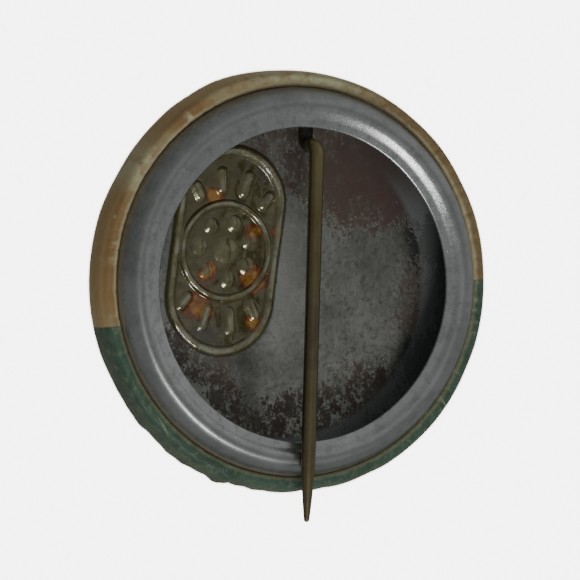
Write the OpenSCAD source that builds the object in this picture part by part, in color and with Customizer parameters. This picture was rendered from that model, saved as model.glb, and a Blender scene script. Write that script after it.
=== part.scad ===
// Button badge of the pin-back kind. A domed tinplate shell is wrapped in printed paper and clear film,
// and a pressed-in back collet traps both and carries a brass wire, sprung in as a hoop with a pin.
// The badge is upright as worn: printed face towards -Y, back towards +Y, +Z up. Units are millimetres.
// The origin is on the axis of the straight pin, level with the middle of the badge.
// Heights along the badge's own axis are counted from the collet's lip, and grow towards the back.

/* [Face] */
// Outside diameter of the finished badge
badge_d = 22.2; // [21.6:0.1:23]
// Radius of the dome across the printed face
dome_r = 80; // [60:1:110]
// Radius of the shoulder between the dome and the rim wall
shoulder_r = 0.95; // [0.85:0.05:1.1]
// Straight height of the rim wall
rim_wall_h = 1.09; // [1.02:0.01:1.15]
// How far the centre of the rolled rim lies in front of the collet's lip
rim_drop = 1.36; // [1.32:0.01:1.44]

/* [Layers] */
// Thickness of the clear film
film_t = 0.18; // [0.12:0.01:0.18]
// Thickness of the printed paper
paper_t = 0.10; // [0.07:0.01:0.1]
// Thickness of the tinplate shell
shell_t = 0.28; // [0.22:0.01:0.28]
// Gap left between neighbouring layers
layer_gap = 0.02; // [0.01:0.005:0.02]
// Depth to which the film is tucked inside the rim
film_tuck = 0.85; // [0.6:0.05:0.85]
// Depth to which the paper is tucked inside the rim
paper_tuck = 0.75; // [0.5:0.05:0.8]

/* [Collet] */
// Sheet thickness of the collet
collet_t = 0.28; // [0.24:0.01:0.3]
// Outer radius of the collet's round bead
bead_r = 1.10; // [1.08:0.01:1.14]
// How far the centre of the bead lies in front of the collet's lip
bead_drop = 0.82; // [0.8:0.01:0.86]
// Angle through which the bead is curled, from the wall to the lip
bead_angle = 137; // [130:1:140]
// Length of the collet's wall inside the rim
collet_wall_h = 1.88; // [1.6:0.02:1.88]

/* [Wire] */
// Diameter of the spring wire
wire_d = 0.76; // [0.7:0.01:0.76]
// Sideways distance from the badge's axis to the pin
pin_offset = 0.25; // [0:0.05:0.5]
// Angle covered by the hoop
hoop_sweep = 318; // [280:1:325]
// Radius of the corner where the hoop turns inwards
corner_r = 1.0; // [0.8:0.05:1.2]
// Height above the middle at which the pin hinges as it flexes
flex_z = 7.8; // [7.6:0.05:7.9]
// Radius of the crank's two square bends
crank_r = 0.6; // [0.5:0.05:0.65]
// How far the full thickness of the pin reaches below the middle
shank_reach = 7.9; // [7.5:0.1:8]
// How far the point reaches below the middle
tip_reach = 12.5; // [11.6:0.1:12.6]
// Radius left at the blunt end of the point
tip_r = 0.12; // [0.06:0.005:0.15]

/* [Stamped relief] */
// Distance of the oval from the badge's axis, sideways
oval_x = 3.0; // [2.8:0.1:3.4]
// Distance of the oval from the badge's axis, upwards
oval_z = 1.5; // [0.8:0.1:1.6]
// Lean of the oval from upright
oval_lean = 6; // [0:1:20]
// Length of the oval
oval_l = 10.8; // [9.8:0.1:10.9]
// Width of the oval
oval_w = 6.4; // [5.8:0.1:6.6]
// Height of the relief above the floor of the shell
relief_h = 0.22; // [0.12:0.01:0.28]
// Width of the raised border and of the ring in the middle
border_w = 0.34; // [0.2:0.01:0.4]
// Number of beads round the middle boss
bead_count = 7; // [6:1:8]
// Number of bars in the fan at each end of the oval
bar_count = 4; // [3:1:4]

/* [Hidden] */
$fn = 120;

// Outlines: number of edges on a full-length curve, and on a small one
long_steps = 16;
arc_steps = 10;

// Depth of each layer below the badge's outer surface
paper_at = film_t + layer_gap;
shell_at = paper_at + paper_t + layer_gap;
floor_at = shell_at + shell_t;

// The rim: centres of the roll, the shoulder and the dome, as [radius, height]
badge_r = badge_d / 2;
roll_c = [badge_r - shell_at - shell_t / 2, -rim_drop];
shoulder_c = [badge_r - shoulder_r, -rim_drop - rim_wall_h];
dome_c = [0, shoulder_c.y + sqrt(pow(dome_r - shoulder_r, 2) - pow(shoulder_c.x, 2))];
meet_angle = atan2(shoulder_c.y - dome_c.y, shoulder_c.x);

// The collet
collet_r = 2 * roll_c.x - badge_r - layer_gap;
bead_c = [collet_r - bead_r, -bead_drop];
lip_c = bead_c + (bead_r - collet_t / 2) * [cos(bead_angle), sin(bead_angle)];

// The wire: the hoop lies against the collet's wall, and the pin lies on the crest of the bead
wire_r = wire_d / 2;
hoop_r = collet_r - collet_t - layer_gap - wire_r;
hoop_h = -bead_drop;
pin_h = bead_r - bead_drop + layer_gap + wire_r;
corner_z = sqrt(pow(hoop_r - corner_r, 2) - pow(corner_r + pin_offset, 2));
corner_angle = atan2(corner_z, -corner_r - pin_offset);
hoop_sides = 16;
hoop_steps = 60;
flex_clear = 0.07;
crank_low_z = flex_z - 0.1;
crank_high_z = crank_low_z - 2 * crank_r;
crank_rise = pin_h - hoop_h;
point_l = tip_reach - shank_reach;
point_power = 2.2;

// Points on an arc about c, from angle a0 to angle a1
function arc(c, r, a0, a1, steps) =
    [for (i = [0 : steps]) let (a = a0 + (a1 - a0) * i / steps) c + r * [cos(a), sin(a)]];

// The face, from the axis out to the top of the rim wall, at a depth below the outer surface
function face_path(depth) = concat(
    arc(dome_c, dome_r - depth, -90, meet_angle, long_steps),
    arc(shoulder_c, shoulder_r - depth, meet_angle + (0 - meet_angle) / arc_steps, 0, arc_steps - 1)
);

// The face, the roll over the rim and the tuck inside it, at a depth below the outer surface
function wrap_path(depth, tuck) = let (roll = badge_r - depth - roll_c.x) concat(
    face_path(depth),
    arc(roll_c, roll, 0, 180, long_steps),
    [[roll_c.x - roll, roll_c.y - tuck]]
);

function reversed(list) = [for (i = [len(list) - 1 : -1 : 0]) list[i]];

// Turns a section of [radius, height] about the badge's axis
module on_axis() {
    translate([pin_offset, -pin_h, 0]) rotate([-90, 0, 0]) rotate_extrude() children();
}

// Turns flat work, seen from the printed side, to lie across the badge at height h
module across(h) {
    translate([pin_offset, h - pin_h, 0]) rotate([90, 0, 0]) children();
}

// Turns work drawn as [height, z] to lie in the plane of the pin
module beside_pin() {
    translate([0, -pin_h, 0]) rotate([90, 0, 90]) children();
}

// A square bend of the wire about c, starting at angle start
module square_bend(c, r, start) {
    translate([c.x, c.y, 0]) rotate([0, 0, start])
        rotate_extrude(angle = 90) translate([r, 0]) circle(wire_r);
}

// A wrapped layer between two depths, as [radius, height]
module wrapped_section(depth, t, tuck) {
    polygon(concat(wrap_path(depth, tuck), reversed(wrap_path(depth + t, tuck))));
}

// An upright stadium, inset from the oval's edge
module stadium(inset) {
    r = oval_w / 2 - inset;
    half = (oval_l - oval_w) / 2;
    union() {
        translate([0, half]) circle(r);
        translate([0, -half]) circle(r);
        translate([-r, -half]) square([2 * r, 2 * half]);
    }
}

// The plain ornament inside the oval: a border, a ring, a beaded boss and two fans of bars
module ornament() {
    ring_r = oval_w / 2 - 0.42;
    boss_r = 0.7;
    bead_ring_r = 1.52;
    bead_dot_r = 0.4;
    bar_w = 0.45;
    bar_l = 0.85;
    bar_start = ring_r + 0.28;
    bar_pitch = 23;
    difference() {
        stadium(0);
        stadium(border_w);
    }
    difference() {
        circle(ring_r);
        circle(ring_r - border_w);
    }
    circle(boss_r);
    for (i = [0 : bead_count - 1]) {
        rotate(i * 360 / bead_count) translate([bead_ring_r, 0]) circle(bead_dot_r);
    }
    for (end = [90, 270], i = [0 : bar_count - 1]) {
        rotate(end + (i - (bar_count - 1) / 2) * bar_pitch)
            translate([bar_start, -bar_w / 2]) square([bar_l, bar_w]);
    }
}

// The relief stands on the floor of the shell and follows its curve
module relief() {
    sunk = shell_t / 2;
    intersection() {
        on_axis() polygon(concat(
            arc(dome_c, dome_r - floor_at + sunk, -90, meet_angle, long_steps),
            arc(dome_c, dome_r - floor_at - relief_h, meet_angle, -90, long_steps)
        ));
        across(0) translate([oval_x, oval_z, 0]) rotate([0, 0, oval_lean])
            linear_extrude(height = 2 * badge_r) ornament();
    }
}

module face_shell() {
    color([0.36, 0.37, 0.37]) union() {
        on_axis() polygon(concat(
            face_path(shell_at),
            arc(roll_c, shell_t / 2, 0, 180, arc_steps),
            reversed(face_path(floor_at))
        ));
        relief();
    }
}

module printed_paper() {
    color([0.66, 0.52, 0.34]) on_axis() wrapped_section(paper_at, paper_t, paper_tuck);
}

module celluloid_film() {
    color([0.85, 0.80, 0.62, 0.4]) on_axis() wrapped_section(0, film_t, film_tuck);
}

module back_collet() {
    foot_h = -bead_drop - collet_wall_h;
    color([0.50, 0.52, 0.53]) on_axis() polygon(concat(
        [[collet_r, foot_h]],
        arc(bead_c, bead_r, 0, bead_angle, long_steps),
        arc(lip_c, collet_t / 2, bead_angle + 18, bead_angle + 162, arc_steps),
        arc(bead_c, bead_r - collet_t, bead_angle, 0, long_steps),
        [[collet_r - collet_t, foot_h]]
    ));
}

// The wire's section at point p of a flat path, which runs square to direction a
function wire_ring(p, a) =
    [for (i = [0 : hoop_sides - 1]) let (s = i * 360 / hoop_sides)
        [p.x + wire_r * cos(s) * cos(a), p.y + wire_r * cos(s) * sin(a), wire_r * sin(s)]];

// The hoop from its free end round to the corner, the corner, and the short run in under the lip
module spring_hoop() {
    corner_c = [-pin_offset - corner_r, corner_z];
    hoop_end = corner_angle + hoop_sweep;
    rings = concat(
        [for (a = [for (i = [0 : hoop_steps]) hoop_end - i * hoop_sweep / hoop_steps])
            wire_ring(hoop_r * [cos(a), sin(a)], a)],
        [for (a = [for (i = [1 : arc_steps]) corner_angle * (1 - i / arc_steps)])
            wire_ring(corner_c + corner_r * [cos(a), sin(a)], a)],
        [wire_ring([-pin_offset, flex_z + wire_r + flex_clear], 0)]
    );
    last = len(rings) - 1;
    color([0.52, 0.47, 0.28]) across(hoop_h) polyhedron(
        points = [for (ring = rings) each ring],
        faces = concat(
            [[for (i = [hoop_sides - 1 : -1 : 0]) i]],
            [for (k = [0 : last - 1], i = [0 : hoop_sides - 1]) let (j = (i + 1) % hoop_sides)
                [k * hoop_sides + i, k * hoop_sides + j, (k + 1) * hoop_sides + j, (k + 1) * hoop_sides + i]],
            [[for (i = [0 : hoop_sides - 1]) last * hoop_sides + i]]
        )
    );
}

// The end that sits in the bend under the lip: a short straight stub with a round head at the hinge
module flex_stub() {
    translate([0, hoop_h - pin_h, flex_z]) rotate_extrude() polygon(concat(
        [[0, crank_low_z - flex_z], [wire_r, crank_low_z - flex_z]],
        arc([0, 0], wire_r, 0, 90, arc_steps)
    ));
}

// The straight pin and its ground point, in one turned shape
module shank() {
    point_end = shank_reach + point_l - tip_r;
    rotate([180, 0, 0]) rotate_extrude() polygon(concat(
        [[0, -crank_high_z], [wire_r, -crank_high_z]],
        [for (i = [0 : long_steps - 1]) let (u = i / long_steps)
            [wire_r - (wire_r - tip_r) * pow(u, point_power), shank_reach + u * (point_l - tip_r)]],
        arc([0, point_end], tip_r, 0, 90, arc_steps)
    ));
}

module pin_arm() {
    low_c = [hoop_h + crank_r, crank_low_z];
    high_c = [pin_h - crank_r, crank_high_z];
    color([0.52, 0.47, 0.28]) union() {
        flex_stub();
        beside_pin() square_bend(low_c, crank_r, 180);
        beside_pin() translate([low_c.x, low_c.y - crank_r, 0]) rotate([0, 90, 0])
            cylinder(r = wire_r, h = crank_rise - 2 * crank_r);
        beside_pin() square_bend(high_c, crank_r, 0);
        shank();
    }
}

face_shell();
printed_paper();
celluloid_film();
back_collet();
spring_hoop();
pin_arm();
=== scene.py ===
import math

import bpy
import numpy as np
from mathutils import Matrix, Vector


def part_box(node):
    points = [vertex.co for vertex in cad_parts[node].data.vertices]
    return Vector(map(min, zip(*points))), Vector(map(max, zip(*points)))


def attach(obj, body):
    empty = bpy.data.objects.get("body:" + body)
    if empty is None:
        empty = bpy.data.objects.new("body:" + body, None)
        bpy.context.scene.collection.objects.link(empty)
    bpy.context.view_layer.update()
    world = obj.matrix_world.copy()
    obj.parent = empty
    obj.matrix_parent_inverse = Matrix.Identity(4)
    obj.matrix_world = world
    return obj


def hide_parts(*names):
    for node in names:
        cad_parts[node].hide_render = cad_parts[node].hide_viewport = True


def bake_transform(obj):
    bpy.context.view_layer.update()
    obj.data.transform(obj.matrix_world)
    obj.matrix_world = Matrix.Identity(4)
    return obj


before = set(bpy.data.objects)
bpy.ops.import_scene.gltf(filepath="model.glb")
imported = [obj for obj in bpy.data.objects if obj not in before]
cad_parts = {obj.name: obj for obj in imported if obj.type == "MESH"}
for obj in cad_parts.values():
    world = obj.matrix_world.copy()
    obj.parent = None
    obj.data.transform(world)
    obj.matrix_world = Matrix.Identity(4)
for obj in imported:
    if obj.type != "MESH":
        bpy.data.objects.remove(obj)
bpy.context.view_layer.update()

MM = 0.001

# ---------------------------------------------------------------- sizes read from the frame

film_low, film_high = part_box("celluloid_film")
collet_low, collet_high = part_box("back_collet")
hoop_low, hoop_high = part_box("spring_hoop")
pin_low, pin_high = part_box("pin_arm")

# How bright the floor and the surround look to the camera
WHITE = 6.0

AXIS_X = (film_low.x + film_high.x) / 2 / MM
BADGE_R = (film_high.x - film_low.x) / 2 / MM
COLLET_R = (collet_high.x - collet_low.x) / 2 / MM
WIRE_R = (pin_high.x - pin_low.x) / 2 / MM
PIN_Y = pin_high.y / MM - WIRE_R
CREST_H = 0.28
LIP_Y = collet_high.y / MM - CREST_H
PIN_H = PIN_Y - LIP_Y
TIP_Z = pin_low.z / MM

# The wrapped face: depths of the layers below the outer surface, and the centres of its curves. The
# print looks as if it lay just under the film's surface, so here the paper fills most of the film's depth.
# The turn reaches further in than the shell's roll and is eased at its outer side.
FILM_T, PAPER_AT, PAPER_T = 0.05, 0.06, 0.23
SHELL_AT, SHELL_T = 0.32, 0.28
FLOOR_AT = SHELL_AT + SHELL_T
DOME_R, SHOULDER_R = 80.0, 0.95
ROLL_R = BADGE_R - SHELL_AT - SHELL_T / 2
ROLL_H, SHOULDER_H = -1.18, -2.45
TURN_REACH, TURN_EASE = 0.09, 0.60
PAPER_TUCK, FILM_TUCK = 0.75, 0.85
SHOULDER_X = BADGE_R - SHOULDER_R
DOME_H = SHOULDER_H + math.sqrt((DOME_R - SHOULDER_R) ** 2 - SHOULDER_X ** 2)
MEET = math.atan2(SHOULDER_H - DOME_H, SHOULDER_X)

# The collet's sheet, how far its opening sits below the badge's middle, and the wire's hoop and crank.
COLLET_T, LIP_SHIFT, LIP_DROP = 0.22, 0.05, 0.15
HOOP_H = -0.82
HOOP_R = (hoop_high.z - hoop_low.z) / 2 / MM - WIRE_R
CORNER_R, CRANK_R = 1.0, 0.6
CRANK_LOW_Z, CRANK_HIGH_Z = 7.7, 6.5
SHANK_Z = -7.9
TIP_R = 0.15
JOIN_Z = 8.2
HOOP_SWEEP = math.radians(318)

# The stamped oval, from the badge's axis
OVAL_X, OVAL_Z, OVAL_L, OVAL_W = 3.05, 1.5, 11.2, 6.4
OVAL_LEAN = math.radians(6)
RING_R = 2.48
RELIEF_H = 0.22


def place(x, h, z):
    """Badge coordinates in millimetres to frame coordinates in metres."""
    return np.stack([(AXIS_X + x) * MM, (LIP_Y + h) * MM, z * MM], axis=-1)


# ---------------------------------------------------------------- mesh helpers

def mesh_piece(name, points, faces, body, material, replaces=()):
    """A smooth mesh object that rides on a body, stands for CAD nodes and wears a material."""
    mesh = bpy.data.meshes.new(name)
    mesh.from_pydata(np.asarray(points).reshape(-1, 3).tolist(), [], faces)
    mesh.validate()
    mesh.polygons.foreach_set("use_smooth", [True] * len(mesh.polygons))
    mesh.materials.append(material)
    piece = bpy.data.objects.new(name, mesh)
    bpy.context.scene.collection.objects.link(piece)
    if body:
        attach(piece, body)
    if replaces:
        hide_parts(*replaces)
    return piece


def ring_faces(rings, around, closed):
    """Quads between rings of points; closed joins the last ring to the first."""
    faces = []
    for i in range(rings if closed else rings - 1):
        a, b = i * around, (i + 1) % rings * around
        for j in range(around):
            k = (j + 1) % around
            faces.append((a + j, b + j, b + k, a + k))
    return faces


def cap(start, around, flip):
    """One polygon over a ring that starts at a point number."""
    ring = list(range(start, start + around))
    return [ring[::-1] if flip else ring]


def arc(cx, ch, r, a0, a1, steps, skip=0):
    """Points on an arc, as (radius, height)."""
    angles = np.linspace(a0, a1, steps + 1)[skip:]
    return [(cx + r * math.cos(a), ch + r * math.sin(a)) for a in angles]


def smooth_curve(knots, steps):
    """Points on a smooth line through the knots."""
    p = np.array([knots[0], *knots, knots[-1]], float)
    points = []
    for i in range(1, len(p) - 2):
        a, b, c, d = p[i - 1:i + 3]
        for t in np.linspace(0, 1, steps, endpoint=False):
            curve = (3 * b - a - 3 * c + d) * t ** 3 + (2 * a - 5 * b + 4 * c - d) * t ** 2
            points.append(b + (curve + (c - a) * t) / 2)
    return np.array(points + [p[-2]])


def turned(profile, angles, shape=None):
    """Turns (radius, height) points about the badge's axis; shape may move each ring's points."""
    r = np.array([p[0] for p in profile])[:, None] + 0 * angles[None, :]
    h = np.array([p[1] for p in profile])[:, None] + 0 * angles[None, :]
    if shape:
        r, h = shape(r, h, angles[None, :] + 0 * r)
    return place(r * np.cos(angles), h, r * np.sin(angles))


def smooth_step(low, high, value):
    t = np.clip((value - low) / (high - low), 0, 1)
    return t * t * (3 - 2 * t)


def ripple(angles, seed, waves, size):
    """A soft random wave round a circle, from a few low harmonics."""
    chance = np.random.default_rng(seed)
    total = 0 * angles
    for n in waves:
        total = total + chance.uniform(0.4, 1) * np.cos(n * angles + chance.uniform(0, 2 * np.pi))
    return size * total / len(waves)


# ---------------------------------------------------------------- material helpers

class Nodes:
    """Builds one material's nodes. Each method returns an output socket."""

    def __init__(self, name):
        self.material = bpy.data.materials.new(name)
        self.material.use_nodes = True
        self.tree = self.material.node_tree
        self.surface = self.tree.nodes["Principled BSDF"]
        self.output = self.tree.nodes["Material Output"]

    def add(self, kind, inputs=None, **settings):
        node = self.tree.nodes.new(kind)
        for key, value in settings.items():
            setattr(node, key, value)
        for key, value in (inputs or {}).items():
            self.feed(node.inputs[key], value)
        return node

    def feed(self, socket, value):
        if isinstance(value, bpy.types.NodeSocket):
            self.tree.links.new(value, socket)
        elif socket.type == "RGBA" and len(value) == 3:
            socket.default_value = (*value, 1)
        else:
            socket.default_value = value

    def set(self, **values):
        """Feeds the main shader's sockets; an underscore stands for a space."""
        for key, value in values.items():
            self.feed(self.surface.inputs[key.replace("_", " ")], value)

    def millimetres(self):
        """Where a point is on the resting badge, in millimetres from the badge's axis."""
        place_of = self.add("ShaderNodeTexCoord").outputs["Object"]
        scaled = self.add("ShaderNodeVectorMath", {0: place_of, "Scale": 1 / MM}, operation="SCALE")
        return self.vector("SUBTRACT", scaled.outputs[0], (AXIS_X, LIP_Y, 0))

    def vector(self, operation, a, b):
        return self.add("ShaderNodeVectorMath", {0: a, 1: b}, operation=operation).outputs[0]

    def turned(self, vector, degrees):
        """The vector turned about the badge's axis."""
        node = self.add(
            "ShaderNodeVectorRotate", {"Vector": vector, "Axis": (0, 1, 0), "Angle": math.radians(degrees)},
            rotation_type="AXIS_ANGLE",
        )
        return node.outputs[0]

    def parts(self, vector):
        node = self.add("ShaderNodeSeparateXYZ", {0: vector})
        return node.outputs[0], node.outputs[1], node.outputs[2]

    def radius(self, vector):
        """How far a point is from the badge's axis."""
        flat = self.vector("MULTIPLY", vector, (1, 0, 1))
        return self.add("ShaderNodeVectorMath", {0: flat}, operation="LENGTH").outputs["Value"]

    def maths(self, operation, a, b, clamp=False):
        node = self.add("ShaderNodeMath", {0: a, 1: b}, operation=operation, use_clamp=clamp)
        return node.outputs[0]

    def plus(self, a, b):
        return self.maths("ADD", a, b)

    def times(self, a, b):
        return self.maths("MULTIPLY", a, b)

    def total(self, *values):
        """Adds values, kept from 0 to 1."""
        result = values[0]
        for value in values[1:]:
            result = self.plus(result, value)
        return self.maths("ADD", result, 0.0, clamp=True)

    def span(self, value, low, high, to_low=0.0, to_high=1.0):
        """Turns low..high smoothly into to_low..to_high."""
        node = self.add(
            "ShaderNodeMapRange",
            {"Value": value, "From Min": low, "From Max": high, "To Min": to_low, "To Max": to_high},
            interpolation_type="SMOOTHSTEP",
        )
        return node.outputs[0]

    def noise(self, vector, scale, detail=4.0, roughness=0.55, distortion=0.0):
        node = self.add(
            "ShaderNodeTexNoise",
            {"Vector": vector, "Scale": scale, "Detail": detail, "Roughness": roughness,
             "Distortion": distortion},
        )
        return node.outputs["Fac"]

    def cells(self, vector, scale):
        return self.add("ShaderNodeTexVoronoi", {"Vector": vector, "Scale": scale}).outputs["Distance"]

    def blob(self, vector, x, z, reach, squeeze=1.0):
        """1 at a place on the face, falling to 0 at a reach from it; squeeze narrows it sideways."""
        flat = self.vector("MULTIPLY", vector, (1 / squeeze, 0, 1))
        away = self.add(
            "ShaderNodeVectorMath", {0: flat, 1: (x / squeeze, 0, z)}, operation="DISTANCE"
        ).outputs["Value"]
        return self.span(away, reach, 0.0)

    def mix(self, share, a, b):
        node = self.add("ShaderNodeMix", data_type="RGBA")
        self.feed(node.inputs["Factor"], share)
        self.feed(node.inputs[6], a)
        self.feed(node.inputs[7], b)
        return node.outputs[2]

    def ramp(self, value, *stops):
        node = self.add("ShaderNodeValToRGB", {"Fac": value})
        points = node.color_ramp.elements
        while len(points) < len(stops):
            points.new(0.5)
        for point, (position, colour) in zip(points, stops):
            point.position = position
            point.color = (*colour, 1)
        return node.outputs["Color"]

    def attribute(self, name):
        return self.add("ShaderNodeAttribute", attribute_name=name).outputs["Fac"]

    def bump(self, height, depth, strength=1.0, normal=None):
        """A bump of a depth in millimetres."""
        node = self.add("ShaderNodeBump", {"Height": height, "Distance": depth * MM, "Strength": strength})
        if normal is not None:
            self.feed(node.inputs["Normal"], normal)
        return node.outputs["Normal"]


# ---------------------------------------------------------------- materials

def tinplate_material():
    """Aged tinplate: clean grey metal, salt-and-pepper rust in patches, and lacquer on the stamped oval."""
    n = Nodes("tinplate")
    at = n.millimetres()
    stamp = n.attribute("stamp")
    relief = n.attribute("relief")

    # Clean metal, cloudy, with short rub marks
    cloud = n.noise(at, 0.55, 5, 0.6, 0.4)
    grain = n.noise(at, 3.5, 6, 0.68)
    rubs = n.noise(n.vector("MULTIPLY", n.turned(at, 12), (4.0, 1.0, 0.7)), 1.3, 6, 0.65)
    clean = n.ramp(cloud, (0.3, (0.162, 0.167, 0.140)), (0.7, (0.292, 0.298, 0.268)))
    clean = n.mix(n.span(rubs, 0.50, 0.78, 0.0, 0.35), clean, (0.46, 0.47, 0.44))
    clean = n.mix(n.span(grain, 0.47, 0.68, 0.0, 0.68), clean, (0.100, 0.103, 0.084))
    stipple = n.noise(n.vector("MULTIPLY", at, (1.3, 1.0, 0.8)), 5.0, 4, 0.75)
    clean = n.mix(n.span(stipple, 0.54, 0.66, 0.0, 0.55), clean, (0.075, 0.075, 0.060))
    # A lighter strip of tin along the pin: painted light that lifts the pin's dark reflection in the floor
    clean = n.mix(n.times(n.blob(at, -0.3, 0.0, 6.5, 0.32), 0.60), clean, (0.42, 0.425, 0.392))

    # Patches where the tin has gone, each an x, z, reach and squeeze, broken up by noise at three scales
    patches = [
        (-5.4, 5.4, 5.2, 1.35), (0.0, 7.0, 4.6, 1.3), (-8.0, -0.8, 4.2, 0.6), (-5.6, -6.4, 4.6, 1.3),
        (-0.6, -8.0, 3.9, 1.4), (4.4, -3.9, 3.3, 1.3), (3.0, -6.6, 2.7, 0.6),
    ]
    patch = n.total(*[n.blob(at, *spot) for spot in patches])
    broad = n.noise(at, 0.55, 6, 0.62, 0.5)
    fine = n.noise(n.vector("MULTIPLY", n.turned(at, -8), (1.0, 1.0, 0.6)), 2.7, 7, 0.72, 0.2)
    flecks = n.noise(at, 7.0, 3, 0.6)
    worn = n.plus(n.times(broad, 0.55), fine)
    worn = n.plus(worn, n.times(flecks, 0.62))
    worn = n.plus(worn, n.span(patch, 0.0, 0.85, 0.0, 0.36))
    worn = n.plus(worn, n.times(n.blob(at, -5.4, 5.6, 4.6, 1.35), 0.22))
    rust = n.span(worn, 1.29, 1.46)
    specks = n.span(n.cells(at, 0.55), 0.110, 0.070)
    rust = n.total(rust, n.times(specks, 0.8))
    browner = n.times(n.blob(at, -5.6, 5.2, 4.8, 1.2), 0.14)
    rust_colour = n.ramp(
        n.plus(n.noise(at, 1.3, 8, 0.75), browner),
        (0.42, (0.108, 0.101, 0.079)), (0.54, (0.084, 0.057, 0.045)), (0.72, (0.082, 0.046, 0.036)),
    )

    # The stamped oval: olive lacquer, amber where it has pooled. Its ridge tops are painted greyer and
    # lighter, partly thin lacquer and partly painted highlight
    low = n.span(relief, 0.70, 0.10)
    lacquer = n.ramp(
        n.noise(at, 1.3, 5, 0.6),
        (0.3, (0.090, 0.081, 0.028)), (0.7, (0.190, 0.176, 0.082)),
    )
    lacquer = n.mix(n.times(low, 0.60), lacquer, (0.052, 0.047, 0.014))
    # Thin light lines along the ridge tops: partly thin lacquer, partly painted highlight
    crest = n.times(n.span(relief, 0.80, 0.97), n.span(n.noise(at, 1.1, 4), 0.38, 0.62))
    lacquer = n.mix(n.times(crest, 0.55), lacquer, (0.34, 0.345, 0.28))
    puddles = [
        (3.8, 4.4, 1.1), (1.4, 2.4, 1.0), (3.9, 0.3, 1.1), (1.4, 0.1, 1.5),
        (4.4, -1.5, 1.5), (0.1, 2.4, 0.8), (1.3, -2.2, 1.0),
    ]
    pools = n.total(*[n.blob(at, *spot) for spot in puddles])
    pooled = n.plus(n.times(pools, 0.45), n.times(n.noise(at, 1.2, 3), 0.75))
    amber = n.times(n.span(pooled, 0.56, 0.64), n.span(relief, 1.0, 0.5))
    resin = n.ramp(
        pooled,
        (0.58, (0.075, 0.022, 0.008)), (0.68, (0.18, 0.060, 0.012)), (0.80, (0.35, 0.18, 0.032)),
    )
    lacquer = n.mix(amber, lacquer, resin)
    scuff = n.times(n.span(rust, 0.2, 1.0), n.span(relief, 1.0, 0.5))
    lacquer = n.mix(n.times(scuff, 0.8), lacquer, (0.034, 0.028, 0.021))

    # Under the collet's lip, except near the top, the tin is painted a dull blue-grey in place of rust, and
    # on the -x side it is darkened with a painted shadow of the lip
    x, _, z = n.parts(at)
    radius = n.radius(at)
    under = n.times(n.span(radius, 8.0, 8.4), n.span(z, 6.5, 3.5))
    metal = n.mix(rust, clean, rust_colour)
    metal = n.mix(n.times(under, 0.9), metal, (0.20, 0.215, 0.215))
    # Painted shadow of the lip over the floor's -x side, under the collet
    painted_lip_shadow = n.times(n.span(radius, 7.2, 8.9), n.span(x, -2.0, -6.0))
    metal = n.mix(n.times(painted_lip_shadow, 0.45), metal, (0.035, 0.034, 0.032))
    metallic = n.times(n.span(rust, 0.0, 1.0, 0.85, 0.15), n.span(under, 0.0, 1.0, 1.0, 0.3))
    rough = n.plus(n.span(rust, 0.0, 0.9, 0.20, 0.58), n.span(grain, 0.4, 0.7, 0.0, 0.12))
    wavy = n.plus(n.noise(at, 0.9, 1), n.times(n.noise(at, 2.4, 1), 0.12))
    dents = n.bump(wavy, 0.16, n.times(stamp, 0.85))
    pitted = n.plus(grain, n.times(rust, 0.8))
    n.set(
        Base_Color=n.mix(stamp, metal, lacquer),
        Metallic=n.times(metallic, n.span(stamp, 0.0, 1.0, 1.0, 0.5)),
        Roughness=n.times(rough, n.span(stamp, 0.0, 1.0, 1.0, 0.8)),
        Coat_Weight=n.span(stamp, 0.3, 0.9),
        Normal=n.bump(pitted, 0.010, 0.6, dents),
        Coat_Normal=dents,
    )
    n.surface.inputs["Coat Roughness"].default_value = 0.08
    return n.material


def collet_material():
    """Dull tinned steel: greyer outside the crest, with fine pits, mottling and grime at its foot."""
    n = Nodes("collet_tin")
    at = n.millimetres()
    _, h, _ = n.parts(at)
    radius = n.radius(at)
    cloud = n.noise(at, 0.5, 5, 0.6, 0.3)
    grain = n.noise(at, 8.0, 6, 0.75)
    crest = n.plus(radius, n.times(n.noise(at, 0.6, 2), 0.16))
    outside = n.span(crest, 9.00, 9.45)
    tin = n.ramp(cloud, (0.3, (0.325, 0.336, 0.325)), (0.7, (0.420, 0.433, 0.424)))
    dull = n.ramp(cloud, (0.3, (0.250, 0.262, 0.248)), (0.7, (0.345, 0.360, 0.346)))
    tin = n.mix(outside, tin, dull)
    # A thin darker line along the crest: painted shade of a crease that the mesh doesn't have
    crease_shade = n.times(n.span(crest, 9.12, 9.30), n.span(crest, 9.50, 9.34))
    tin = n.mix(n.times(crease_shade, 0.35), tin, (0.16, 0.16, 0.155))
    tin = n.mix(n.span(grain, 0.52, 0.76, 0.0, 0.42), tin, (0.125, 0.122, 0.115))
    mottle = n.span(n.noise(at, 1.9, 6, 0.7), 0.48, 0.64, 0.0, 0.42)
    tin = n.mix(mottle, tin, (0.185, 0.200, 0.190))
    pits = n.span(n.cells(at, 2.2), 0.10, 0.04)
    tin = n.mix(n.times(pits, 0.6), tin, (0.05, 0.042, 0.038))
    smear = n.plus(h, n.times(n.noise(at, 1.2, 5, 0.7), 0.6))
    grime = n.times(n.span(smear, -0.16, -0.50), outside)
    tin = n.mix(n.times(grime, 0.80), tin, (0.190, 0.145, 0.095))
    n.set(
        Base_Color=tin,
        Metallic=n.span(grime, 0.0, 1.0, 0.90, 0.2),
        Roughness=n.total(n.span(grain, 0.35, 0.7, 0.22, 0.33), n.times(outside, 0.10)),
        Normal=n.bump(n.plus(grain, n.times(pits, -1.0)), 0.010, 0.7),
    )
    return n.material


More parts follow.
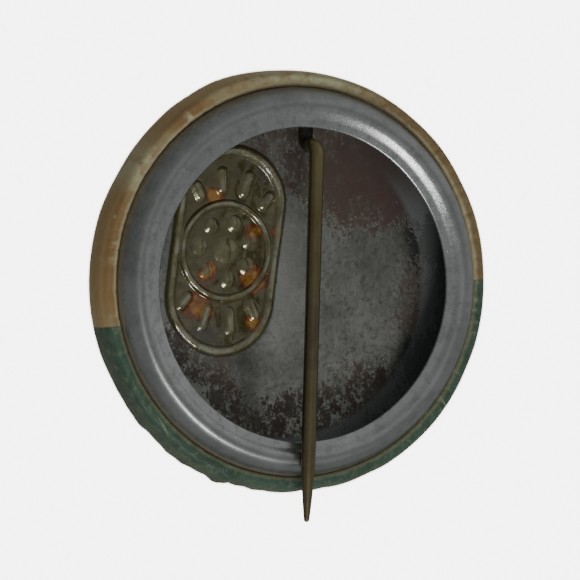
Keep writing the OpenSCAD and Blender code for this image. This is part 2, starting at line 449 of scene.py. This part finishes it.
def paper_material():
    """Litho-printed paper: a mottled tan sky over a teal green field, stained where it turns inwards."""
    n = Nodes("printed_paper")
    at = n.millimetres()
    x, h, z = n.parts(at)
    horizon = n.plus(n.times(x, 0.1435), z)
    horizon = n.plus(horizon, n.times(n.noise(at, 2.2, 3), 0.12))
    field = n.span(horizon, -1.03, -1.10)
    blotch = n.noise(n.vector("MULTIPLY", at, (1, 0.45, 1)), 0.34, 4, 0.55, 0.6)
    dots = n.noise(at, 9.0, 3, 0.6)
    sky = n.ramp(
        blotch,
        (0.36, (0.43, 0.37, 0.23)), (0.46, (0.38, 0.265, 0.13)), (0.60, (0.32, 0.185, 0.080)),
    )
    cloud = n.total(n.blob(at, 9.0, 5.7, 2.2), n.blob(at, -0.6, 10.8, 5.0, 1.4), n.span(blotch, 0.62, 0.70))
    cloud = n.times(cloud, n.span(n.noise(at, 0.9, 5, 0.65), 0.36, 0.56, 0.25, 1.0))
    sky = n.mix(cloud, sky, (0.66, 0.70, 0.50))
    sky = n.mix(n.span(n.noise(at, 1.7, 6, 0.7), 0.52, 0.66, 0.0, 0.55), sky, (0.30, 0.21, 0.12))
    sky = n.mix(n.span(dots, 0.4, 0.7, 0.0, 0.3), sky, (0.30, 0.22, 0.13))
    age_spots = n.span(n.noise(at, 1.6, 6, 0.7), 0.35, 0.60, 0.35, 0.85)
    aged = n.times(n.span(x, -1.5, -7.0), age_spots)
    sky = n.mix(aged, sky, (0.185, 0.145, 0.075))
    green = n.ramp(
        n.noise(at, 0.6, 5, 0.6),
        (0.3, (0.028, 0.090, 0.073)), (0.7, (0.066, 0.160, 0.132)),
    )
    green = n.mix(n.span(n.noise(at, 2.4, 6, 0.7), 0.52, 0.68, 0.0, 0.6), green, (0.24, 0.28, 0.235))
    streak = n.span(n.noise(n.vector("MULTIPLY", n.turned(at, 55), (0.25, 0.4, 3.0)), 1.0, 2), 0.66, 0.70)
    green = n.mix(n.times(streak, 0.6), green, (0.36, 0.38, 0.32))
    printed = n.mix(field, sky, green)

    # Lighter down the rim and lower down the wall, painted light that evens out their shade; paler along the
    # turn; and brown with dirt against the collet
    # Lighter down the rim: painted light against the rim's shade
    rim = n.times(n.span(h, -0.74, -1.30), n.span(field, 0.0, 1.0, 0.80, 0.0))
    printed = n.mix(rim, printed, n.mix(cloud, (0.68, 0.47, 0.235), (0.76, 0.74, 0.54)))
    # Paler lower down the wall: painted light against the wall's shade
    wall_painted_light = n.plus(h, n.times(n.noise(at, 0.8, 3), 0.5))
    wall_painted_light = n.times(n.span(wall_painted_light, -1.7, -2.6), n.span(field, 0.0, 1.0, 0.55, 0.0))
    printed = n.mix(wall_painted_light, printed, (0.74, 0.70, 0.52))
    radius = n.radius(at)
    fray = n.plus(n.noise(at, 1.8, 4), n.times(n.noise(at, 7.0, 3), 0.6))
    edge = n.plus(radius, n.times(fray, -0.20))
    # Paler along the turn next to the collet
    back = n.span(h, -1.9, -1.4)
    pale_turn = n.times(n.span(edge, 10.32, 10.14), back)
    pale_turn = n.times(pale_turn, n.span(field, 0.0, 1.0, 0.75, 0.30))
    printed = n.mix(pale_turn, printed, (0.66, 0.61, 0.43))
    stain = n.times(n.span(edge, 10.05, 9.90), back)
    printed = n.mix(stain, printed, (0.17, 0.120, 0.062))
    n.set(
        Base_Color=printed,
        Roughness=n.span(dots, 0.2, 0.8, 0.5, 0.7),
        Normal=n.bump(dots, 0.006, 0.4),
    )
    return n.material


def film_material():
    """Clear aged film: it shows the print, faintly yellowed, under a soft gloss."""
    n = Nodes("celluloid")
    at = n.millimetres()
    haze = n.noise(at, 3.0, 5, 0.65)
    clear = n.add("ShaderNodeBsdfTransparent", {"Color": (0.96, 0.95, 0.91)}).outputs[0]
    n.set(
        Base_Color=n.ramp(haze, (0.3, (0.22, 0.18, 0.12)), (0.7, (0.34, 0.29, 0.21))),
        Roughness=n.span(haze, 0.3, 0.7, 0.20, 0.38),
        Normal=n.bump(haze, 0.004, 0.5),
    )
    n.surface.inputs["IOR"].default_value = 1.5
    facing = n.add("ShaderNodeLayerWeight", {"Blend": 0.18}).outputs["Fresnel"]
    cover = n.span(facing, 0.0, 1.0, 0.04, 0.22)
    shown = n.add("ShaderNodeMixShader", {0: cover, 1: clear, 2: n.surface.outputs[0]})
    n.feed(n.output.inputs["Surface"], shown.outputs[0])
    return n.material


def brass_material():
    """Drawn brass wire gone olive brown, painted lighter towards the top as a painted highlight, and nearly
    black where it runs inside the badge: partly dirt, partly painted shade for the shadow of the lip.
    """
    n = Nodes("brass_wire")
    at = n.millimetres()
    _, h, z = n.parts(at)
    drawn = n.noise(n.vector("MULTIPLY", at, (6.0, 6.0, 0.35)), 1.0, 5, 0.6)
    tarnish = n.noise(at, 0.5, 5, 0.6, 0.4)
    colour = n.ramp(
        tarnish,
        (0.3, (0.128, 0.109, 0.050)), (0.50, (0.162, 0.138, 0.074)), (0.70, (0.114, 0.087, 0.060)),
    )
    colour = n.mix(n.span(drawn, 0.45, 0.8, 0.0, 0.6), colour, (0.070, 0.052, 0.030))
    # Lighter and yellower towards the top: painted highlight
    colour = n.mix(n.span(z, 2.0, 8.0, 0.0, 0.5), colour, (0.250, 0.220, 0.085))
    # Nearly black inside the badge: partly dirt, partly painted shade for the lip's shadow
    dirt_and_painted_shade = n.span(n.plus(h, n.times(tarnish, 0.3)), 0.50, -0.10)
    colour = n.mix(n.times(dirt_and_painted_shade, 0.95), colour, (0.014, 0.010, 0.007))
    n.set(
        Base_Color=colour,
        Metallic=n.span(dirt_and_painted_shade, 0.0, 1.0, 0.9, 0.1),
        Roughness=n.plus(n.span(drawn, 0.2, 0.8, 0.30, 0.46), n.times(dirt_and_painted_shade, 0.25)),
        Normal=n.bump(drawn, 0.004, 0.5),
    )
    return n.material


def floor_material():
    """A plain pale floor, bright to the camera so that it stays as white as a cut-out's ground."""
    n = Nodes("pale_floor")
    grain = n.noise(n.millimetres(), 0.02, 2)
    n.set(
        Base_Color=n.ramp(grain, (0.0, (0.82, 0.82, 0.82)), (1.0, (0.86, 0.86, 0.86))),
        Roughness=0.8,
    )
    white = n.add("ShaderNodeEmission", {"Color": (1, 1, 1), "Strength": WHITE}).outputs[0]
    seen = n.add("ShaderNodeLightPath").outputs["Is Camera Ray"]
    shown = n.add("ShaderNodeMixShader", {0: seen, 1: n.surface.outputs[0], 2: white})
    n.feed(n.output.inputs["Surface"], shown.outputs[0])
    return n.material


# ---------------------------------------------------------------- the stamped relief

def domed(distance, reach):
    """The height of a rounded ridge or dome, from the distance to its middle."""
    return np.clip(1 - (distance / reach) ** 2, 0, 1)


def relief_height(x, z):
    """How far the stamping stands above the floor, 0 to 1, and how far inside the oval a point is."""
    dx, dz = x - OVAL_X, z - OVAL_Z
    u = dx * math.cos(OVAL_LEAN) + dz * math.sin(OVAL_LEAN)
    v = -dx * math.sin(OVAL_LEAN) + dz * math.cos(OVAL_LEAN)
    half = (OVAL_L - OVAL_W) / 2
    edge = np.hypot(u, np.maximum(np.abs(v) - half, 0)) - OVAL_W / 2
    inside = smooth_step(0.06, -0.10, edge)

    # The border and the middle ring, each a rounded ridge on a low step
    border_w, ring_w = 0.34, 0.27
    height = 0.25 * smooth_step(0.0, -0.6, edge)
    height = np.maximum(height, domed(edge + border_w, border_w))
    radius, turn = np.hypot(u, v), np.arctan2(v, u)
    height = np.maximum(height, 0.95 * domed(radius - RING_R, ring_w))
    height = np.where(radius < RING_R - 0.1, np.maximum(height, 0.10), height)

    # A domed boss in the middle with a ring of beads round it
    boss_r = 0.85
    beads, bead_r, bead_at = 7, 0.56, 1.52
    height = np.maximum(height, 0.95 * domed(radius, boss_r))
    step = 2 * np.pi / beads
    near = (turn + step / 2) % step - step / 2
    bead = np.hypot(radius * np.cos(near) - bead_at, radius * np.sin(near))
    height = np.maximum(height, 0.90 * domed(bead, bead_r))

    # A fan of four fat bars at each end
    pitch, bar_w = math.radians(23), 0.42
    for end in (np.pi / 2, -np.pi / 2):
        for i in (-1.5, -0.5, 0.5, 1.5):
            a = end + i * pitch
            along = u * np.cos(a) + v * np.sin(a)
            across = -u * np.sin(a) + v * np.cos(a)
            reach = 0.52 - 0.16 * abs(i)
            bar = np.hypot(np.maximum(np.abs(along - RING_R - 0.75 - reach) - reach, 0), across)
            height = np.maximum(height, 0.95 * domed(bar, bar_w))
    return height * inside, inside


# ---------------------------------------------------------------- pieces

def face_path(depth, dome_steps, shoulder_steps):
    """The wrapped face from its middle to the top of the wall, at a depth below the outer surface."""
    dome = arc(0, DOME_H, DOME_R - depth, -math.pi / 2, MEET, dome_steps, skip=1)
    return dome + arc(SHOULDER_X, SHOULDER_H, SHOULDER_R - depth, MEET, 0, shoulder_steps, skip=1)


def closed_disc(name, profile, angles, shape, material, replaces):
    """A turned piece whose profile starts and ends beside the axis, with its two middles closed."""
    points = turned(profile, angles, shape)
    rings, around = points.shape[:2]
    faces = ring_faces(rings, around, closed=False)
    faces += cap(0, around, flip=False) + cap((rings - 1) * around, around, flip=True)
    return mesh_piece(name, points, faces, "badge", material, replaces)


def make_shell():
    """The tinplate shell: a plain outer side, and an inner side fine enough to carry the stamping."""
    stamp_from, stamp_to, end = (math.radians(a) for a in (-66, 112, 294))
    fine = np.linspace(stamp_from, stamp_to, 300, endpoint=False)
    coarse = np.linspace(stamp_to, end, 60, endpoint=False)
    angles = np.concatenate([fine, coarse])

    # The outer side and the roll keep clear of the uneven paper over them
    clear, roll_drop, roll_slack = 0.12, 0.08, 0.04
    outer = face_path(SHELL_AT + clear, 12, 8)
    roll = arc(ROLL_R, ROLL_H - roll_drop, SHELL_T / 2 - roll_slack, 0, math.pi, 8)
    wall = arc(SHOULDER_X, SHOULDER_H, SHOULDER_R - FLOOR_AT, 0, MEET, 6)
    reaches = np.concatenate([np.linspace(9.95, 8.7, 8), np.linspace(8.6, 0.12, 210)])
    floor = [(r, DOME_H - math.sqrt((DOME_R - FLOOR_AT) ** 2 - r * r)) for r in reaches]
    profile = outer + roll + wall + floor
    first_floor = len(profile) - len(floor)

    def shape(r, h, a):
        x, z = r * np.cos(a), r * np.sin(a)
        height, _ = relief_height(x, z)
        on_floor = np.zeros_like(r)
        on_floor[first_floor:] = 1
        wavy = 0.012 * np.sin(0.9 * x + 0.4) * np.sin(0.7 * z + 1.1) * smooth_step(9.5, 8.0, r)
        return r, h + on_floor * (RELIEF_H * height + wavy)

    piece = closed_disc(
        "shell", profile, angles, shape, tinplate_material(), ["face_shell"]
    )
    co = np.zeros(len(piece.data.vertices) * 3)
    piece.data.vertices.foreach_get("co", co)
    co = co.reshape(-1, 3) / MM
    height, inside = relief_height(co[:, 0] - AXIS_X, co[:, 2])
    for name, values in (("relief", height), ("stamp", inside)):
        layer = piece.data.attributes.new(name, "FLOAT", "POINT")
        layer.data.foreach_set("value", values.astype(np.float32))
    return piece


def swell(value, centre, width):
    """A smooth hump, 1 at its centre."""
    return np.exp(-(((value - centre) / width) ** 2))


def wrap_shape(r, h, a):
    """Moves a wrapped layer's points: soft flats round the rim and pinched pleats where it turns inwards."""
    chance = np.random.default_rng(11)
    pleats = np.cumsum(chance.uniform(2.5, 7.0, 90))
    pleats = np.radians(pleats[pleats < 357])
    depths = chance.uniform(0.2, 1.0, len(pleats))
    widths = np.radians(chance.uniform(0.6, 1.3, len(pleats)))
    pinch = np.zeros_like(a)
    for at, depth, width in zip(pleats, depths, widths):
        away = (a - at + np.pi) % (2 * np.pi) - np.pi
        pinch = pinch + depth * swell(away, 0, width)

    # Places round the rim are in degrees from +x towards +z
    turn = np.degrees(a) % 360
    slack = 0.22 + 0.78 * swell(turn, 294, 24) + 0.30 * swell(turn, 50, 32)
    knots = np.cumsum(chance.uniform(4, 12, 90))
    knots = knots[knots < 356]
    facets = np.interp(turn, knots, chance.uniform(0, 1, len(knots)), period=360)
    flats = facets * slack
    on_roll = smooth_step(-2.0, -1.2, h) * smooth_step(10.0, 10.25, r) * smooth_step(10.95, 10.6, r)
    on_rim = smooth_step(-3.5, -2.8, h) * smooth_step(10.3, 10.8, r)
    puff = 0.20 * swell(turn, 57, 20) + 0.16 * swell(turn, 293, 13)
    crimps = ripple(a, 5, (24, 37, 53, 66), 0.17) * swell(turn, 290, 26)
    r = r + (puff + crimps - 0.28 * flats) * on_rim
    folds = 0.06 + 0.09 * swell(turn, 140, 38)
    h = h - (folds * pinch + 0.03 * flats) * on_roll
    return r, h


def wrap_side(at, tuck):
    """Half a wrapped layer's outline: over the face, up the rim, round the turn and down the tuck."""
    roll = BADGE_R - at - ROLL_R
    inward = roll + TURN_REACH
    turn = []
    for t in np.linspace(0, math.pi / 2, 11):
        turn.append((ROLL_R + roll * math.cos(t), ROLL_H - TURN_EASE + (roll + TURN_EASE) * math.sin(t)))
    for t in np.linspace(math.pi / 2, math.pi, 11)[1:]:
        squared = [abs(v) ** 0.65 for v in (math.cos(t), math.sin(t))]
        turn.append((ROLL_R - inward * squared[0], ROLL_H + roll * squared[1]))
    return face_path(at, 10, 7) + turn + [(ROLL_R - inward, ROLL_H - tuck)]


def make_wrapped(name, depth, thickness, tuck, material, replaces):
    """A layer over the face, the rim and the tuck inside it."""
    angles = np.linspace(0, 2 * np.pi, 1080, endpoint=False)
    outer, inner = wrap_side(depth, tuck), wrap_side(depth + thickness, tuck)
    return closed_disc(name, outer + inner[::-1], angles, wrap_shape, material, replaces)


def make_collet():
    """The back ring: sheet rolled over a crest, its flat inner slope ending in a rounded lip."""
    angles = np.linspace(0, 2 * np.pi, 480, endpoint=False)
    foot = collet_low.y / MM - LIP_Y
    knots = [
        (COLLET_R, foot), (COLLET_R, -1.6), (COLLET_R, -1.0), (10.10, -0.72), (9.98, -0.42),
        (9.84, -0.14), (9.67, 0.09), (9.48, 0.235), (9.27, CREST_H), (9.10, 0.266), (8.95, 0.232),
        (8.83, 0.18), (8.71, 0.12), (8.59, 0.07), (8.44, 0.035), (8.26, -0.005),
    ]
    upper = smooth_curve(knots, 5)
    ahead = np.gradient(upper, axis=0)
    ahead /= np.linalg.norm(ahead, axis=1)[:, None]
    inward = np.stack([-ahead[:, 1], ahead[:, 0]], axis=1)
    half = COLLET_T / 2
    middle = upper[-1] + half * inward[-1]
    lip = [
        middle + half * (ahead[-1] * math.sin(t) - inward[-1] * math.cos(t))
        for t in np.linspace(0, math.pi, 11)[1:-1]
    ]
    profile = [*upper, *lip, *(upper + COLLET_T * inward)[::-1]]

    def shape(r, h, a):
        on_bead = smooth_step(-1.2, -0.4, h)
        dent = 0.012 * (1 + ripple(a, 9, (2, 7, 11, 19), 1.0))
        off_centre = LIP_SHIFT * np.cos(a) + LIP_DROP * np.sin(a)
        r = r - off_centre * smooth_step(9.2, 8.3, r)
        return r + on_bead * ripple(a, 3, (3, 5, 8, 13), 0.015), h - on_bead * dent

    points = turned(profile, angles, shape)
    rings, around = points.shape[:2]
    return mesh_piece(
        "collet", points, ring_faces(rings, around, closed=True),
        "badge", collet_material(), ["back_collet"],
    )


def wire_mesh(path, radii, sides):
    """A tube of wire along badge-coordinate points, with a rounded or flat end from its radii."""
    path = np.array(path, float)
    ahead = np.gradient(path, axis=0)
    ahead /= np.linalg.norm(ahead, axis=1)[:, None]
    side = np.array([1.0, 0.0, 0.0]) if abs(ahead[-1][0]) < 0.5 else np.array([0.0, 1.0, 0.0])
    points = []
    for centre, along, radius in zip(path, ahead, radii):
        side = side - along * np.dot(side, along)
        side /= np.linalg.norm(side)
        other = np.cross(along, side)
        for t in np.linspace(0, 2 * np.pi, sides, endpoint=False):
            points.append(centre + radius * (math.cos(t) * side + math.sin(t) * other))
    points = np.array(points)
    faces = [f[::-1] for f in ring_faces(len(path), sides, closed=False)]
    faces += cap(0, sides, flip=True) + cap((len(path) - 1) * sides, sides, flip=False)
    return place(points[:, 0], points[:, 1], points[:, 2]), faces


def make_hoop(material):
    """The hoop sprung into the collet, its corner at the top, and the run in under the lip."""
    pin_x = -AXIS_X
    reach = HOOP_R - CORNER_R
    corner_x = pin_x - CORNER_R
    corner_z = math.sqrt(reach ** 2 - corner_x ** 2)
    start = math.atan2(corner_z, corner_x)
    path = []
    for a in np.linspace(start + HOOP_SWEEP, start, 200):
        path.append((HOOP_R * math.cos(a), HOOP_H, HOOP_R * math.sin(a)))
    for a in np.linspace(start, 0, 13)[1:]:
        path.append((corner_x + CORNER_R * math.cos(a), HOOP_H, corner_z + CORNER_R * math.sin(a)))
    for z in np.linspace(corner_z, JOIN_Z, 3)[1:]:
        path.append((pin_x, HOOP_H, z))
    radii = [0.55 * WIRE_R, 0.9 * WIRE_R] + [WIRE_R] * (len(path) - 2)
    points, faces = wire_mesh(path, radii, 24)
    return mesh_piece("hoop_wire", points, faces, "spring", material, ["spring_hoop"])


def make_pin(material):
    """The free end of the wire: in under the lip, up the crank, across the back and down to its point."""
    x = -AXIS_X
    path = [(x, HOOP_H, z) for z in np.linspace(JOIN_Z, CRANK_LOW_Z, 12)]
    for a in np.linspace(180, 270, 12)[1:]:
        t = math.radians(a)
        path.append((x, HOOP_H + CRANK_R + CRANK_R * math.cos(t), CRANK_LOW_Z + CRANK_R * math.sin(t)))
    for a in np.linspace(90, 0, 12):
        t = math.radians(a)
        path.append((x, PIN_H - CRANK_R + CRANK_R * math.cos(t), CRANK_HIGH_Z + CRANK_R * math.sin(t)))
    for z in np.linspace(CRANK_HIGH_Z, SHANK_Z, 40)[1:]:
        path.append((x, PIN_H, z))
    radii = [WIRE_R] * len(path)
    length = SHANK_Z - TIP_Z
    for s in np.linspace(0, 1, 30)[1:]:
        path.append((x, PIN_H, SHANK_Z - s * (length - TIP_R)))
        radii.append(WIRE_R - (WIRE_R - TIP_R) * s ** 2.2)
    for t in np.linspace(0, math.pi / 2, 7)[1:]:
        path.append((x, PIN_H, TIP_Z + TIP_R - TIP_R * math.sin(t)))
        radii.append(max(TIP_R * math.cos(t), 0.004))
    points, faces = wire_mesh(path, radii, 32)
    piece = mesh_piece("pin_wire", points, faces, None, material, ["pin_arm"])
    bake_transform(piece)
    return piece


# ---------------------------------------------------------------- studio

# The camera is level with the badge and slightly rolled. BACK points from the badge to the camera.
AZIMUTH, ROLL = math.radians(155.9), math.radians(1.6)
BACK = Vector((math.sin(AZIMUTH), -math.cos(AZIMUTH), 0))
LEVEL = Vector((math.cos(AZIMUTH), math.sin(AZIMUTH), 0))
UPRIGHT = BACK.cross(LEVEL)
RIGHT = LEVEL * math.cos(ROLL) + UPRIGHT * math.sin(ROLL)
UP = UPRIGHT * math.cos(ROLL) - LEVEL * math.sin(ROLL)
LIP_CENTRE = Vector((AXIS_X * MM, LIP_Y * MM, 0))


def make_camera():
    """A long lens at the badge's back, off to one side, with the badge just right of and above the middle."""
    data = bpy.data.cameras.new("camera")
    data.lens = 600
    data.sensor_width = 36
    data.clip_start, data.clip_end = 0.01, 50
    camera = bpy.data.objects.new("camera", data)
    bpy.context.scene.collection.objects.link(camera)
    frame_width, left, down = 30.2 * MM, 0.70, 0.43
    distance = frame_width * data.lens / data.sensor_width
    target = LIP_CENTRE - RIGHT * left * MM - UP * down * MM
    turn = Matrix((RIGHT, UP, BACK)).transposed().to_4x4()
    camera.matrix_world = Matrix.Translation(target + BACK * distance) @ turn
    bpy.context.scene.camera = camera


def soft_light(name, right, up, towards, distance, size, power):
    """An area light aimed at the badge, from a direction given as the camera sees it."""
    data = bpy.data.lights.new(name, "AREA")
    data.shape = "RECTANGLE"
    data.size, data.size_y = size
    data.energy = power
    light = bpy.data.objects.new(name, data)
    bpy.context.scene.collection.objects.link(light)
    away = (RIGHT * right + UP * up + BACK * towards).normalized()
    light.location = LIP_CENTRE + away * distance
    light.rotation_euler = away.to_track_quat("Z", "Y").to_euler()
    light.visible_camera = False


def make_surround():
    """A pale surround: brighter from the camera's right and a little above, and white to the camera."""
    bright_side = RIGHT * 0.95 + UP * 0.31
    dimmest, brightest, falloff = 0.17, 0.52, 1.7
    world = bpy.data.worlds.new("surround")
    world.use_nodes = True
    bpy.context.scene.world = world
    tree = world.node_tree
    lit = tree.nodes["Background"]
    lit.inputs["Color"].default_value = (0.97, 0.98, 1.0, 1)
    direction = tree.nodes.new("ShaderNodeTexCoord").outputs["Generated"]
    side = tree.nodes.new("ShaderNodeVectorMath")
    side.operation = "DOT_PRODUCT"
    side.inputs[1].default_value = bright_side
    tree.links.new(direction, side.inputs[0])
    share = tree.nodes.new("ShaderNodeMapRange")
    share.inputs["From Min"].default_value = -1.0
    tree.links.new(side.outputs["Value"], share.inputs["Value"])
    eased = tree.nodes.new("ShaderNodeMath")
    eased.operation = "POWER"
    eased.inputs[1].default_value = falloff
    tree.links.new(share.outputs[0], eased.inputs[0])
    strength = tree.nodes.new("ShaderNodeMapRange")
    strength.inputs["To Min"].default_value = dimmest
    strength.inputs["To Max"].default_value = brightest
    tree.links.new(eased.outputs[0], strength.inputs["Value"])
    tree.links.new(strength.outputs[0], lit.inputs["Strength"])

    white = tree.nodes.new("ShaderNodeBackground")
    white.inputs["Color"].default_value = (1, 1, 1, 1)
    white.inputs["Strength"].default_value = WHITE
    seen = tree.nodes.new("ShaderNodeLightPath").outputs["Is Camera Ray"]
    shown = tree.nodes.new("ShaderNodeMixShader")
    tree.links.new(seen, shown.inputs[0])
    tree.links.new(lit.outputs[0], shown.inputs[1])
    tree.links.new(white.outputs[0], shown.inputs[2])
    tree.links.new(shown.outputs[0], tree.nodes["World Output"].inputs["Surface"])


def make_studio():
    """A pale floor well below the badge, a pale surround, and a soft light low on the camera's side."""
    floor_z = -0.6
    half = 40.0
    corners = [(x, y, floor_z) for x, y in ((-half, -half), (half, -half), (half, half), (-half, half))]
    floor = mesh_piece("floor", corners, [(0, 1, 2, 3)], None, floor_material())

    make_surround()
    soft_light("below", right=0.20, up=-0.62, towards=0.76, distance=0.3, size=(0.08, 0.07), power=0.36)


# ---------------------------------------------------------------- assembly

make_camera()
make_studio()
make_shell()
make_wrapped("paper", PAPER_AT, PAPER_T, PAPER_TUCK, paper_material(), ["printed_paper"])
make_wrapped("film", 0.0, FILM_T, FILM_TUCK, film_material(), ["celluloid_film"])
make_collet()
brass = brass_material()
make_hoop(brass)
make_pin(brass)
